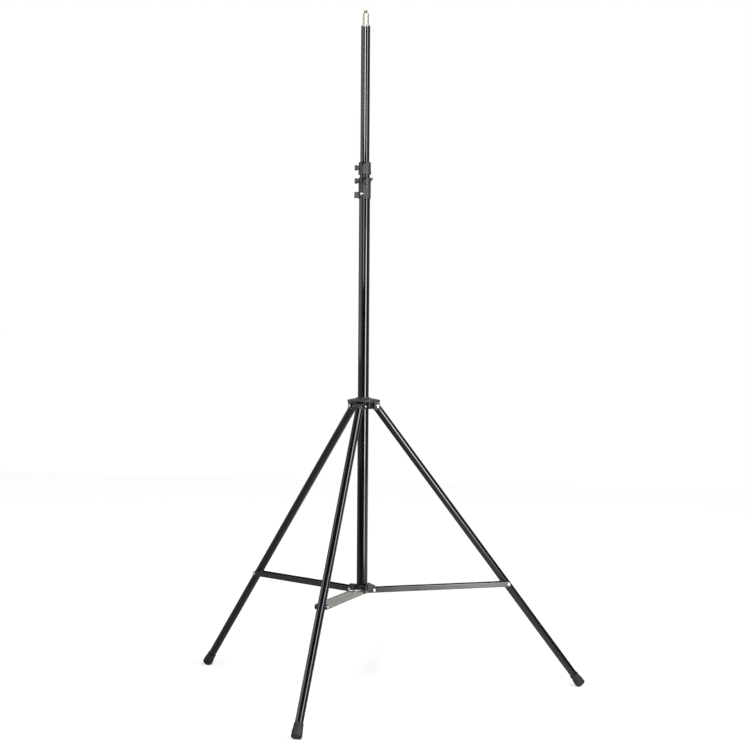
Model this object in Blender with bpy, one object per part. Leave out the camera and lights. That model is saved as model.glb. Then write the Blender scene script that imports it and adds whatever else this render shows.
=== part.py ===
"""Overhead microphone stand: a three-section column on three folding legs with double braces.

Run it with: blender --background --python part.py
Metres, +Z up. The front leg points along -Y and the floor is z = 0.
"""

import math

import bmesh
import bpy
from mathutils import Matrix, Vector

# Clearances. Meshes of pieces that touch keep REST_GAP between them.
REST_GAP = 0.0003
TUBE_GAP = 0.00025
BORE_GAP = 0.00035
HOLE_GAP = 0.0003

# How far a cutter passes the face it cuts through, and how far joined shapes sink into each other.
PAST = 0.002
SINK = 0.0005

# Tubes: the outer one sets the others' diameters, each sliding in the one before. The middle
# one is as long as leaves MIDDLE_FLOOR below it when MIDDLE_OUT of it stands out at the top.
OUTER_DIAMETER = 0.030
OUTER_WALL = 0.001
OUTER_LENGTH = 1.1135
MIDDLE_WALL = 0.001
MIDDLE_FLOOR = 0.082
MIDDLE_OUT = 0.040
TOP_WALL = 0.0012
TOP_LENGTH = 1.060
TOP_OUT = 0.389

# Legs, measured from the pivot on the leg collar to the end of the rubber foot.
LEG_ANGLE = math.radians(37.65)
LEG_LENGTH = 0.990
LEG_DIAMETER = 0.0215
LEG_WALL = 0.0012
LEG_PIVOT_RADIUS = 0.0364
LEG_PIVOT_TO_TUBE = 0.014
LEG_AZIMUTHS = {"front": math.radians(270), "right": math.radians(30), "left": math.radians(150)}

# Rubber feet.
FOOT_RADIUS = 0.014
FOOT_MOUTH_RADIUS = 0.0122
FOOT_LENGTH = 0.036
FOOT_SOLE = 0.0102
FOOT_MOUTH_CHAMFER = 0.0005
FOOT_SWELL = 0.0003
FOOT_ROUNDING = 0.004
FOOT_FLAT_DEPTH = 0.0005

# Braces: two flat bars each, from the base collar to the brace pin across the leg.
COLLAR_SPACING = 0.5037
BRACE_PIN_DISTANCE = 0.6266
BASE_PIVOT_RADIUS = 0.0296
BAR_HEIGHT = 0.0135
BAR_THICKNESS = 0.0015
BAR_INNER_OFFSET = 0.0145

# Rivets and pins.
RIVET_RADIUS = 0.0029
RIVET_HEAD_RADIUS = 0.0042
RIVET_HEAD_HEIGHT = 0.0016
BRACE_PIN_RADIUS = 0.0026
BRACE_SPACER_RADIUS = 0.0068
BASE_RIVET_SHOULDER_RADIUS = 0.0045

# Leg head: the knuckle in the top of each leg.
EYE_RADIUS = 0.0095
EYE_HALF_WIDTH = 0.0110
HEAD_SHOULDER = 0.0097
HEAD_PLUG_LENGTH = 0.022

# Leg collar, heights from the leg pivots.
LEG_COLLAR_RADIUS = 0.0445
LEG_COLLAR_LOBING = 0.05
LEG_COLLAR_HUB_WALL = 0.0041
LEG_COLLAR_BOTTOM = -0.008
LEG_COLLAR_CAP_BOTTOM = 0.0125
LEG_COLLAR_CAP_EDGE = 0.0180
LEG_COLLAR_TOP = 0.0240
LEG_COLLAR_RIM_ROUNDING = 0.0035
LEG_COLLAR_NECK_WALL = 0.0028
LEG_COLLAR_NECK_HEIGHT = 0.0020
LEG_COLLAR_CHAMFER = 0.0006
LEG_COLLAR_LINER_WALL = 0.0013
LEG_EAR_GAP = 0.0003
LEG_EAR_THICKNESS = 0.0052
LEG_EAR_REACH = 0.0062
BLOCK_REACH = 0.0340
BLOCK_WIDTH = 0.0250
BLOCK_RIM = 0.0035
BLOCK_POCKET_DEPTH = 0.007

# Base collar, heights from the base pivots.
BASE_HUB_WALL = 0.0057
BASE_HUB_BOTTOM = -0.0055
BASE_HUB_TOP = 0.0145
BASE_EAR_THICKNESS = 0.0027
BASE_EAR_BOTTOM = -0.0065
BASE_EAR_TOP = 0.0175
BASE_EAR_REACH = 0.0048
BASE_EAR_ROUNDING = 0.0115
BASE_EAR_CORNER = 0.005
COLUMN_END_DROP = 0.0036
PLUG_LENGTH = 0.020
PLUG_FLANGE = 0.0018
PLUG_BORE_WALL = 0.002

# Clamps. Heights count from the top end of the tube that carries the clamp, and x and y from
# the column's axis, with x to the viewer's right and y away from the viewer.
CLAMP_TURN = math.radians(14.15)
BUSH_RIM = 0.0013
BUSH_SLIT = 0.002
LOWER_CLAMP = {
    "wall": 0.00155, "flare": 0.0, "bottom": -0.0395, "top": 0.0172, "knob": 0.0090,
    "opening": ((-0.0068, 0.0065), (-0.0010, 0.0065), (0.0082, 0.0190), (-0.0068, 0.0190)),
}
UPPER_CLAMP = {
    "wall": 0.0027, "flare": 0.0008, "bottom": -0.0135, "top": 0.0195, "knob": 0.0048,
    "opening": ((-0.0075, 0.0115), (-0.0050, 0.0115), (0.0085, 0.0210), (-0.0075, 0.0210)),
}
FLARE_HEIGHT = 0.008
FLARE_TAPER = 0.002
SLOT_WIDTH = 0.0020
SLOT_LEVEL = 0.0018
SLOT_LEFT = -0.0125
SLOT_RIGHT = 0.0033
NOTCH_WIDTH = 0.0034
NOTCH_DEPTH = 0.0060
LUG_REACH = 0.0284
LUG_BOTTOM = -0.0375
LUG_TOP = -0.0210
LUG_WIDTH = 0.013
LUG_ROUNDING = 0.004
WING_REACH = 0.0229
WING_WIDTH = 0.006
WING_BOTTOM = 0.0035
WING_TOP = 0.0188
WING_TIP_HEIGHT = 0.0030
WING_TIP_SLOPE = 0.0012
FIXING_SCREW_AZIMUTH = math.radians(242.5)
FIXING_SCREW_LEVEL = -0.0275
FIXING_BOSS_RADIUS = 0.0056
FIXING_BOSS_HEIGHT = 0.0014
FIXING_HEAD_HEIGHT = 0.0016
SCREW_RADIUS = 0.002

# Knobs.
KNOB_RADIUS = 0.0074
KNOB_LENGTH = 0.0079
KNOB_SOCKET = 0.0045
KNOB_LOBES = 6
KNOB_LOBE_DEPTH = 0.0009
KNOB_ROUNDING = 0.0018
BOSS_RADIUS = 0.0060
CLAMP_BOSS_HEIGHT = 0.0024
COLLAR_BOSS_REACH = 0.0455
COLLAR_KNOB_LEVEL = 0.0025
COLLAR_KNOB_LENGTH = 0.0100

# Spigot on the top tube.
SPIGOT_RADIUS = 0.008
SPIGOT_LENGTH = 0.033
THREAD_RADIUS = 0.00475
THREAD_LENGTH = 0.0093
SPIGOT_FLANGE = 0.0033
SPIGOT_PLUG_LENGTH = 0.030
SPIGOT_CHAMFER = 0.0008

# Sides of round pieces.
CAP_SIDES = 48
TUBE_SIDES = 32
LEG_SIDES = 24
SMALL_SIDES = 16
ARC_STEPS = 8

# Sizes that follow from the ones above.
OUTER_RADIUS = OUTER_DIAMETER / 2
OUTER_BORE = OUTER_RADIUS - OUTER_WALL
MIDDLE_RADIUS = OUTER_BORE - TUBE_GAP
MIDDLE_BORE = MIDDLE_RADIUS - MIDDLE_WALL
TOP_RADIUS = MIDDLE_BORE - TUBE_GAP
TOP_BORE = TOP_RADIUS - TOP_WALL
LEG_RADIUS = LEG_DIAMETER / 2
LEG_BORE = LEG_RADIUS - LEG_WALL
LEG_PIVOT_Z = (
    (LEG_LENGTH - FOOT_ROUNDING) * math.cos(LEG_ANGLE)
    + (FOOT_RADIUS - FOOT_ROUNDING) * math.sin(LEG_ANGLE)
    + FOOT_ROUNDING
    - FOOT_FLAT_DEPTH
)
BASE_PIVOT_Z = LEG_PIVOT_Z - COLLAR_SPACING
COLUMN_BOTTOM = BASE_PIVOT_Z - COLUMN_END_DROP
COLUMN_TOP = COLUMN_BOTTOM + OUTER_LENGTH
MIDDLE_TOP = COLUMN_TOP + MIDDLE_OUT
MIDDLE_BOTTOM = COLUMN_BOTTOM + MIDDLE_FLOOR
TOP_TOP = MIDDLE_TOP + TOP_OUT
TOP_BOTTOM = TOP_TOP - TOP_LENGTH
PIN_RADIUS_FROM_COLUMN = LEG_PIVOT_RADIUS + BRACE_PIN_DISTANCE * math.sin(LEG_ANGLE)
PIN_Z = LEG_PIVOT_Z - BRACE_PIN_DISTANCE * math.cos(LEG_ANGLE)
BRACE_RUN = PIN_RADIUS_FROM_COLUMN - BASE_PIVOT_RADIUS
BRACE_RISE = PIN_Z - BASE_PIVOT_Z
BRACE_LENGTH = math.hypot(BRACE_RUN, BRACE_RISE)
BRACE_TILT = math.atan2(BRACE_RISE, BRACE_RUN)
BAR_OUTER_OFFSET = BAR_INNER_OFFSET + BAR_THICKNESS
SPACER_OFFSET = BAR_INNER_OFFSET - REST_GAP
HOLE_RADIUS = RIVET_RADIUS + HOLE_GAP
PIN_HOLE_RADIUS = BRACE_PIN_RADIUS + HOLE_GAP
SCREW_HOLE_RADIUS = SCREW_RADIUS + HOLE_GAP
LEG_EAR_INNER = EYE_HALF_WIDTH + LEG_EAR_GAP
LEG_EAR_OUTER = LEG_EAR_INNER + LEG_EAR_THICKNESS
BASE_EAR_INNER = BAR_OUTER_OFFSET + HOLE_GAP
BASE_EAR_OUTER = BASE_EAR_INNER + BASE_EAR_THICKNESS
BASE_EAR_START = BASE_HUB_WALL
LINER_BORE = OUTER_RADIUS + BORE_GAP
LINER_RADIUS = LINER_BORE + LEG_COLLAR_LINER_WALL
COLLAR_BORE = LINER_RADIUS + REST_GAP
BASE_BORE = OUTER_RADIUS + BORE_GAP

AXIS_Z = Vector((0, 0, 1))
ALONG_X = Matrix.Rotation(math.pi / 2, 4, "Y")
ALONG_Y = Matrix.Rotation(-math.pi / 2, 4, "X")


def clear_scene():
    for obj in list(bpy.data.objects):
        bpy.data.objects.remove(obj, do_unlink=True)


def make_material(name, colour, roughness, metallic):
    material = bpy.data.materials.new(name)
    material.use_nodes = True
    shader = material.node_tree.nodes["Principled BSDF"]
    shader.inputs["Base Color"].default_value = (*colour, 1)
    shader.inputs["Roughness"].default_value = roughness
    shader.inputs["Metallic"].default_value = metallic
    return material


def make_object(name, bm, material=None, parent=None, place=None):
    """A smooth-shaded object from a bmesh, placed in its parent's frame."""
    bmesh.ops.remove_doubles(bm, verts=bm.verts, dist=1e-7)
    bmesh.ops.recalc_face_normals(bm, faces=bm.faces)
    mesh = bpy.data.meshes.new(name)
    bm.to_mesh(mesh)
    bm.free()
    mesh.shade_smooth()
    mesh.set_sharp_from_angle(angle=math.radians(35))
    if material:
        mesh.materials.append(material)
    obj = bpy.data.objects.new(name, mesh)
    bpy.context.scene.collection.objects.link(obj)
    obj.parent = parent
    if place:
        obj.matrix_local = place
    return obj


def make_empty(name, parent=None, place=None):
    empty = bpy.data.objects.new(name, None)
    empty.empty_display_size = 0.02
    bpy.context.scene.collection.objects.link(empty)
    empty.parent = parent
    if place:
        empty.matrix_local = place
    return empty


def make_tool(name, bm, parent=None, place=None):
    """A helper shape for a Boolean, left out of renders."""
    tool = make_object(name, bm, None, parent, place)
    tool.hide_render = True
    tool.display_type = "WIRE"
    return tool


def apply_tool(target, tool, operation):
    modifier = target.modifiers.new(tool.name, "BOOLEAN")
    modifier.operation = operation
    modifier.solver = "EXACT"
    modifier.object = tool


def join(target, bm, label, place=None):
    apply_tool(target, make_tool(f"{target.name}_{label}", bm, target, place), "UNION")


def cut(target, bm, label, place=None):
    apply_tool(target, make_tool(f"{target.name}_{label}", bm, target, place), "DIFFERENCE")


def lathe(profile, sides, closed=False):
    """Turns a profile of (radius, height) points about Z. A closed profile makes a ring."""
    bm = bmesh.new()
    points = [bm.verts.new((radius, 0, height)) for radius, height in profile]
    pairs = list(zip(points, points[1:]))
    if closed:
        pairs.append((points[-1], points[0]))
    edges = [bm.edges.new(pair) for pair in pairs]
    bmesh.ops.spin(
        bm, geom=points + edges, cent=(0, 0, 0), axis=AXIS_Z, angle=2 * math.pi, steps=sides, use_merge=True
    )
    bmesh.ops.remove_doubles(bm, verts=bm.verts, dist=1e-6)
    return bm


def solid_round(radius, low, high, sides=SMALL_SIDES):
    """A cylinder along Z with flat ends, turned half a side so that no edge meets a lathe's."""
    bm = bmesh.new()
    half_side = Matrix.Rotation(math.pi / sides, 4, "Z")
    middle = Matrix.Translation((0, 0, (low + high) / 2))
    bmesh.ops.create_cone(
        bm,
        cap_ends=True,
        segments=sides,
        radius1=radius,
        radius2=radius,
        depth=high - low,
        matrix=middle @ half_side,
    )
    return bm


def tube(outer, bore, low, high, sides):
    return lathe([(outer, high), (outer, low), (bore, low), (bore, high)], sides, closed=True)


def box(low, high):
    bm = bmesh.new()
    bmesh.ops.create_cube(bm, size=1)
    for vert in bm.verts:
        for axis in range(3):
            vert.co[axis] = high[axis] if vert.co[axis] > 0 else low[axis]
    return bm


def prism(outline, low, high):
    """Extrudes an outline of (x, z) points along Y."""
    bm = bmesh.new()
    face = bm.faces.new([bm.verts.new((x, low, z)) for x, z in outline])
    extruded = bmesh.ops.extrude_face_region(bm, geom=[face])
    moved = [item for item in extruded["geom"] if isinstance(item, bmesh.types.BMVert)]
    bmesh.ops.translate(bm, verts=moved, vec=(0, high - low, 0))
    return bm


def arc(centre, radius, start, end, steps=ARC_STEPS):
    """Points on an arc in a plane, from one angle to another, both ends included."""
    turn = (end - start) / steps
    return [
        (centre[0] + radius * math.cos(start + turn * i), centre[1] + radius * math.sin(start + turn * i))
        for i in range(steps + 1)
    ]


def axes_frame(origin, x_axis, y_axis):
    """A frame with its x and y axes along two unit vectors."""
    z_axis = x_axis.cross(y_axis)
    frame = Matrix((x_axis, y_axis, z_axis)).transposed().to_4x4()
    frame.translation = origin
    return frame


def outward(azimuth):
    return Vector((math.cos(azimuth), math.sin(azimuth), 0))


def sideways(azimuth):
    return Vector((-math.sin(azimuth), math.cos(azimuth), 0))


def radial_frame(azimuth, height=0.0):
    """Z points out from the column's axis, Y sideways."""
    return axes_frame(AXIS_Z * height, -AXIS_Z, sideways(azimuth))


def rivet_profile(half_span, shaft_radius):
    """Half a domed head outside half_span, above a shaft."""
    return [
        (0, half_span + RIVET_HEAD_HEIGHT),
        (RIVET_HEAD_RADIUS * 0.6, half_span + RIVET_HEAD_HEIGHT * 0.85),
        (RIVET_HEAD_RADIUS, half_span + RIVET_HEAD_HEIGHT * 0.35),
        (RIVET_HEAD_RADIUS, half_span),
        (shaft_radius, half_span),
    ]


def mirrored(profile):
    """The profile followed by its mirror image below height 0."""
    return profile + [(radius, -height) for radius, height in reversed(profile)]


def make_column(frame, materials):
    make_object(
        "column_tube",
        tube(OUTER_RADIUS, OUTER_BORE, COLUMN_BOTTOM, COLUMN_TOP, TUBE_SIDES),
        materials["paint"],
        frame,
    )
    plug_radius = OUTER_BORE - BORE_GAP
    plug_top = COLUMN_BOTTOM + PLUG_LENGTH
    flange_top = COLUMN_BOTTOM - REST_GAP
    flange_bottom = flange_top - PLUG_FLANGE
    plug = [
        (plug_radius - PLUG_BORE_WALL, plug_top),
        (plug_radius, plug_top),
        (plug_radius, flange_top),
        (OUTER_RADIUS, flange_top),
        (OUTER_RADIUS, flange_bottom),
        (0, flange_bottom),
        (0, flange_top),
        (plug_radius - PLUG_BORE_WALL, flange_top),
    ]
    make_object("base_end_plug", lathe(plug, TUBE_SIDES, closed=True), materials["plastic"], frame)


def make_guide_plug(name, bore, outer, bottom, material, frame):
    """A ring plug in a tube's lower end, with a flange as wide as the tube."""
    radius = bore - BORE_GAP
    inside = radius - PLUG_BORE_WALL
    top = bottom + PLUG_LENGTH
    flange_top = bottom - REST_GAP
    flange_bottom = flange_top - PLUG_FLANGE
    profile = [
        (radius, top),
        (radius, flange_top),
        (outer, flange_top),
        (outer, flange_bottom),
        (inside, flange_bottom),
        (inside, top),
    ]
    make_object(name, lathe(profile, TUBE_SIDES, closed=True), material, frame)


def make_inner_tubes(frame, materials):
    middle = tube(MIDDLE_RADIUS, MIDDLE_BORE, MIDDLE_BOTTOM, MIDDLE_TOP, TUBE_SIDES)
    make_object("middle_tube", middle, materials["paint"], frame)
    make_guide_plug(
        "middle_guide_plug", MIDDLE_BORE, MIDDLE_RADIUS, MIDDLE_BOTTOM, materials["plastic"], frame
    )
    top = tube(TOP_RADIUS, TOP_BORE, TOP_BOTTOM, TOP_TOP, TUBE_SIDES)
    make_object("top_tube", top, materials["paint"], frame)
    make_guide_plug("top_guide_plug", TOP_BORE, TOP_RADIUS, TOP_BOTTOM, materials["plastic"], frame)


def make_spigot(frame, materials):
    flange_bottom = TOP_TOP + REST_GAP
    flange_top = flange_bottom + SPIGOT_FLANGE
    shoulder = flange_top + SPIGOT_LENGTH
    tip = shoulder + THREAD_LENGTH
    plug_radius = TOP_BORE - BORE_GAP
    profile = [
        (0, tip),
        (THREAD_RADIUS - SPIGOT_CHAMFER, tip),
        (THREAD_RADIUS, tip - SPIGOT_CHAMFER),
        (THREAD_RADIUS, shoulder),
        (SPIGOT_RADIUS - SPIGOT_CHAMFER, shoulder),
        (SPIGOT_RADIUS, shoulder - SPIGOT_CHAMFER),
        (SPIGOT_RADIUS, flange_top),
        (TOP_RADIUS - SPIGOT_CHAMFER / 2, flange_top),
        (TOP_RADIUS, flange_top - SPIGOT_CHAMFER / 2),
        (TOP_RADIUS, flange_bottom),
        (plug_radius, flange_bottom),
        (plug_radius, flange_bottom - SPIGOT_PLUG_LENGTH),
        (0, flange_bottom - SPIGOT_PLUG_LENGTH),
    ]
    make_object("spigot", lathe(profile, TUBE_SIDES), materials["bright"], frame)


def knob_shape(start, length):
    """A fluted knob along Z from start, with a rounded outer end and a socket for its screw."""
    levels = [
        (start, 0.90),
        (start + length * 0.12, 1.0),
        (start + length - KNOB_ROUNDING, 1.0),
        (start + length - KNOB_ROUNDING * 0.4, 0.90),
        (start + length, 0.68),
    ]
    sides = KNOB_LOBES * 6
    bm = bmesh.new()
    rings = []
    for height, share in levels:
        ring = []
        for i in range(sides):
            angle = 2 * math.pi * i / sides
            lobe = KNOB_LOBE_DEPTH * (1 - math.cos(KNOB_LOBES * angle)) / 2
            radius = (KNOB_RADIUS - lobe) * share
            ring.append(bm.verts.new((radius * math.cos(angle), radius * math.sin(angle), height)))
        rings.append(ring)
    for below, above in zip(rings, rings[1:]):
        for i in range(sides):
            j = (i + 1) % sides
            bm.faces.new((below[i], below[j], above[j], above[i]))
    bm.faces.new(list(reversed(rings[0])))
    bm.faces.new(rings[-1])
    return bm


def make_thumb_screw(name, start, knob_start, knob_length, place, materials, parent):
    """A screw along Z from start, and the knob on its outer end."""
    knob = make_object(
        f"{name}_knob", knob_shape(knob_start, knob_length), materials["plastic"], parent, place
    )
    socket_end = knob_start + KNOB_SOCKET
    cut(knob, solid_round(SCREW_HOLE_RADIUS, knob_start - PAST, socket_end), "socket")
    screw_end = socket_end - REST_GAP
    make_object(
        f"{name}_screw", solid_round(SCREW_RADIUS, start, screw_end), materials["steel"], parent, place
    )


def make_bush(name, outer, bore, low, high, material, parent):
    """A ring bush with a slit at the viewer's right."""
    bush = make_object(name, tube(outer, bore, low, high, TUBE_SIDES), material, parent)
    slit = box((0, -BUSH_SLIT / 2, low - PAST), (outer + PAST, BUSH_SLIT / 2, high + PAST))
    cut(bush, slit, "slit")


def make_clamp(name, size, tube_radius, inner_radius, level, materials, frame):
    """A clamp body on a tube's top end, its bush around the inner tube and its thumb screw."""
    parent = make_empty(
        f"{name}_frame", frame, Matrix.Translation((0, 0, level)) @ Matrix.Rotation(CLAMP_TURN, 4, "Z")
    )
    bore = tube_radius + BORE_GAP
    outer = bore + size["wall"]
    flared = outer + size["flare"]
    bottom, top = size["bottom"], size["top"]
    profile = [
        (outer, top),
        (outer, bottom + FLARE_HEIGHT + FLARE_TAPER),
        (flared, bottom + FLARE_HEIGHT),
        (flared, bottom),
        (bore - PAST, bottom),
        (bore - PAST, top),
    ]
    body = make_object(name, lathe(profile, TUBE_SIDES, closed=True), materials["plastic"], parent)

    knob_place = radial_frame(math.pi, size["knob"])
    boss_end = outer + CLAMP_BOSS_HEIGHT
    join(body, solid_round(BOSS_RADIUS, bore - SINK, boss_end), "boss", knob_place)
    if name == "lower_clamp":
        add_lower_clamp_details(body, bore, outer, parent, materials)
    cut(body, solid_round(bore, bottom - PAST, WING_TOP + PAST, TUBE_SIDES), "bore")
    screw_hole = solid_round(SCREW_HOLE_RADIUS, bore - 2 * PAST, boss_end + PAST)
    cut(body, screw_hole, "screw_hole", knob_place)
    cut(body, prism(size["opening"], -outer - 2 * PAST, -bore / 2), "opening")

    bush_outer = bore - REST_GAP
    bush_bore = inner_radius + REST_GAP
    make_bush(f"{name}_bush", bush_outer, bush_bore, REST_GAP, top + BUSH_RIM, materials["plastic"], parent)
    make_thumb_screw(
        name, bush_outer + REST_GAP, boss_end + REST_GAP, KNOB_LENGTH, knob_place, materials, parent
    )


def add_lower_clamp_details(body, bore, outer, parent, materials):
    """The lug, wing, slots and fixing screw of the clamp on the outer tube."""
    lug = [
        (-bore + SINK, LUG_BOTTOM),
        (-bore + SINK, LUG_TOP),
        *arc((-LUG_REACH + LUG_ROUNDING, LUG_TOP - LUG_ROUNDING), LUG_ROUNDING, math.pi / 2, math.pi),
        (-LUG_REACH, LUG_BOTTOM),
    ]
    join(body, prism(lug, -LUG_WIDTH / 2, LUG_WIDTH / 2), "lug")
    wing = [
        (bore + SINK, WING_BOTTOM),
        (WING_REACH, WING_TOP - WING_TIP_HEIGHT),
        (WING_REACH - WING_TIP_SLOPE, WING_TOP),
        (bore + SINK, WING_TOP - WING_TIP_HEIGHT),
    ]
    join(body, prism(wing, -WING_WIDTH / 2, WING_WIDTH / 2), "wing")

    screw_place = radial_frame(FIXING_SCREW_AZIMUTH, FIXING_SCREW_LEVEL)
    boss_top = outer + FIXING_BOSS_HEIGHT
    join(body, solid_round(FIXING_BOSS_RADIUS, bore - SINK, boss_top), "fixing_boss", screw_place)
    head_seat = outer + REST_GAP / 2
    counterbore = solid_round(RIVET_HEAD_RADIUS + HOLE_GAP, head_seat, boss_top + PAST)
    cut(body, counterbore, "counterbore", screw_place)
    fixing_hole = solid_round(SCREW_HOLE_RADIUS, bore - 2 * PAST, boss_top)
    cut(body, fixing_hole, "fixing_hole", screw_place)
    front = -outer - PAST
    slot = box((SLOT_LEFT, front, SLOT_LEVEL), (SLOT_RIGHT, -bore / 2, SLOT_LEVEL + SLOT_WIDTH))
    cut(body, slot, "slot")
    notch_top = SLOT_LEVEL + SLOT_WIDTH / 2
    notch = box(
        (SLOT_RIGHT - NOTCH_WIDTH, front, notch_top - NOTCH_DEPTH), (SLOT_RIGHT, -bore / 2, notch_top)
    )
    cut(body, notch, "notch")

    head_bottom = head_seat + REST_GAP
    head = [
        (0, head_bottom + FIXING_HEAD_HEIGHT),
        (RIVET_HEAD_RADIUS * 0.7, head_bottom + FIXING_HEAD_HEIGHT * 0.85),
        (RIVET_HEAD_RADIUS, head_bottom + FIXING_HEAD_HEIGHT * 0.4),
        (RIVET_HEAD_RADIUS, head_bottom),
        (SCREW_RADIUS, head_bottom),
        (SCREW_RADIUS, OUTER_RADIUS + REST_GAP),
        (0, OUTER_RADIUS + REST_GAP),
    ]
    make_object("lower_fixing_screw", lathe(head, SMALL_SIDES), materials["bright"], parent, screw_place)


def leg_collar_profile():
    """The cap and hub of the leg collar as one turned ring."""
    hub = COLLAR_BORE + LEG_COLLAR_HUB_WALL
    rounding = LEG_COLLAR_RIM_ROUNDING
    rim_centre = (LEG_COLLAR_RADIUS - rounding, LEG_COLLAR_CAP_EDGE - rounding)
    rim = arc(rim_centre, rounding, math.pi / 2, 0, 4)
    neck = COLLAR_BORE + LEG_COLLAR_NECK_WALL
    inside = COLLAR_BORE - PAST
    foot = LEG_COLLAR_TOP - LEG_COLLAR_NECK_HEIGHT
    return [
        (inside, LEG_COLLAR_TOP),
        (neck - LEG_COLLAR_CHAMFER, LEG_COLLAR_TOP),
        (neck, LEG_COLLAR_TOP - LEG_COLLAR_CHAMFER),
        (neck + LEG_COLLAR_CHAMFER, foot),
        ((neck + rim[0][0]) / 2, (foot * 3 + rim[0][1] * 2) / 5),
        *rim,
        (LEG_COLLAR_RADIUS, LEG_COLLAR_CAP_BOTTOM),
        (hub, LEG_COLLAR_CAP_BOTTOM),
        (hub, LEG_COLLAR_BOTTOM + SINK),
        (inside, LEG_COLLAR_BOTTOM + SINK),
    ]


def make_leg_collar(frame, materials):
    parent = make_empty("leg_collar_frame", frame, Matrix.Translation((0, 0, LEG_PIVOT_Z)))
    hub = COLLAR_BORE + LEG_COLLAR_HUB_WALL
    cap = lathe(leg_collar_profile(), CAP_SIDES, closed=True)
    for vert in cap.verts:
        share = max(0, math.hypot(vert.co.x, vert.co.y) - hub) / (LEG_COLLAR_RADIUS - hub)
        from_leg = math.atan2(vert.co.y, vert.co.x) - LEG_AZIMUTHS["front"]
        vert.co.xy *= 1 + LEG_COLLAR_LOBING * share * math.cos(3 * from_leg)
    collar = make_object("leg_collar", cap, materials["plastic"], parent)
    ear_top = LEG_COLLAR_CAP_BOTTOM + 2 * SINK
    through_ears = LEG_EAR_OUTER + PAST
    ear_end = LEG_PIVOT_RADIUS + LEG_EAR_REACH
    for name, azimuth in LEG_AZIMUTHS.items():
        turn = Matrix.Rotation(azimuth, 4, "Z")
        for side, label in ((1, "ear_a"), (-1, "ear_b")):
            low, high = sorted((side * LEG_EAR_INNER, side * LEG_EAR_OUTER))
            ear = box((hub / 2, low, LEG_COLLAR_BOTTOM), (ear_end, high, ear_top))
            join(collar, ear, f"{name}_{label}", turn)
        across = turn @ Matrix.Rotation(math.pi, 4, "Z")
        block = box(
            (hub - 2 * PAST, -BLOCK_WIDTH / 2, LEG_COLLAR_BOTTOM + 2 * SINK),
            (BLOCK_REACH, BLOCK_WIDTH / 2, LEG_COLLAR_CAP_BOTTOM + SINK),
        )
        join(collar, block, f"{name}_block", across)
    lock_place = radial_frame(math.pi / 2, COLLAR_KNOB_LEVEL)
    join(collar, solid_round(BOSS_RADIUS, hub, COLLAR_BOSS_REACH), "lock_boss", lock_place)

    bore = solid_round(COLLAR_BORE, LEG_COLLAR_BOTTOM - PAST, LEG_COLLAR_TOP + PAST, TUBE_SIDES)
    cut(collar, bore, "bore")
    for name, azimuth in LEG_AZIMUTHS.items():
        turn = Matrix.Rotation(azimuth, 4, "Z")
        hole_place = turn @ Matrix.Translation((LEG_PIVOT_RADIUS, 0, 0)) @ ALONG_Y
        cut(collar, solid_round(HOLE_RADIUS, -through_ears, through_ears), f"{name}_hole", hole_place)
        if name == "front":
            continue
        half = BLOCK_WIDTH / 2 - BLOCK_RIM
        pocket = box(
            (BLOCK_REACH - BLOCK_POCKET_DEPTH, -half, LEG_COLLAR_BOTTOM + BLOCK_RIM),
            (BLOCK_REACH + PAST, half, LEG_COLLAR_CAP_BOTTOM - BLOCK_RIM),
        )
        cut(collar, pocket, f"{name}_pocket", turn @ Matrix.Rotation(math.pi, 4, "Z"))
    lock_hole = solid_round(SCREW_HOLE_RADIUS, COLLAR_BORE - 2 * PAST, COLLAR_BOSS_REACH + PAST)
    cut(collar, lock_hole, "lock_hole", lock_place)

    liner = tube(LINER_RADIUS, LINER_BORE, LEG_COLLAR_BOTTOM, LEG_COLLAR_TOP, TUBE_SIDES)
    make_object("leg_collar_bush", liner, materials["plastic"], parent)
    make_thumb_screw(
        "leg_collar",
        LINER_RADIUS + REST_GAP,
        COLLAR_BOSS_REACH + REST_GAP,
        COLLAR_KNOB_LENGTH,
        lock_place,
        materials,
        parent,
    )


def base_ear(side):
    """One ear of the base collar in its brace's frame: x out, y sideways, with a rounded top."""
    reach = BASE_PIVOT_RADIUS + BASE_EAR_REACH
    rounding = BASE_EAR_ROUNDING
    corner = BASE_EAR_CORNER
    outline = [
        (BASE_EAR_START, BASE_EAR_BOTTOM),
        *arc((reach - corner, BASE_EAR_BOTTOM + corner), corner, -math.pi / 2, 0, 3),
        *arc((reach - rounding, BASE_EAR_TOP - rounding), rounding, 0, math.pi / 2),
        (BASE_EAR_START, BASE_EAR_TOP),
    ]
    low, high = sorted((side * BASE_EAR_INNER, side * BASE_EAR_OUTER))
    return prism(outline, low, high)


def make_base_collar(frame, materials):
    parent = make_empty("base_collar_frame", frame, Matrix.Translation((0, 0, BASE_PIVOT_Z)))
    hub = BASE_BORE + BASE_HUB_WALL
    collar = make_object(
        "base_collar",
        tube(hub, BASE_BORE, BASE_HUB_BOTTOM, BASE_HUB_TOP, TUBE_SIDES),
        materials["plastic"],
        parent,
    )
    for name, azimuth in LEG_AZIMUTHS.items():
        turn = Matrix.Rotation(azimuth, 4, "Z")
        join(collar, base_ear(1), f"{name}_ear_a", turn)
        join(collar, base_ear(-1), f"{name}_ear_b", turn)
    for name, azimuth in LEG_AZIMUTHS.items():
        turn = Matrix.Rotation(azimuth, 4, "Z")
        place = turn @ Matrix.Translation((BASE_PIVOT_RADIUS, 0, 0)) @ ALONG_Y
        hole = solid_round(HOLE_RADIUS, -BASE_EAR_OUTER - PAST, BASE_EAR_OUTER + PAST)
        cut(collar, hole, f"{name}_hole", place)


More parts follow.
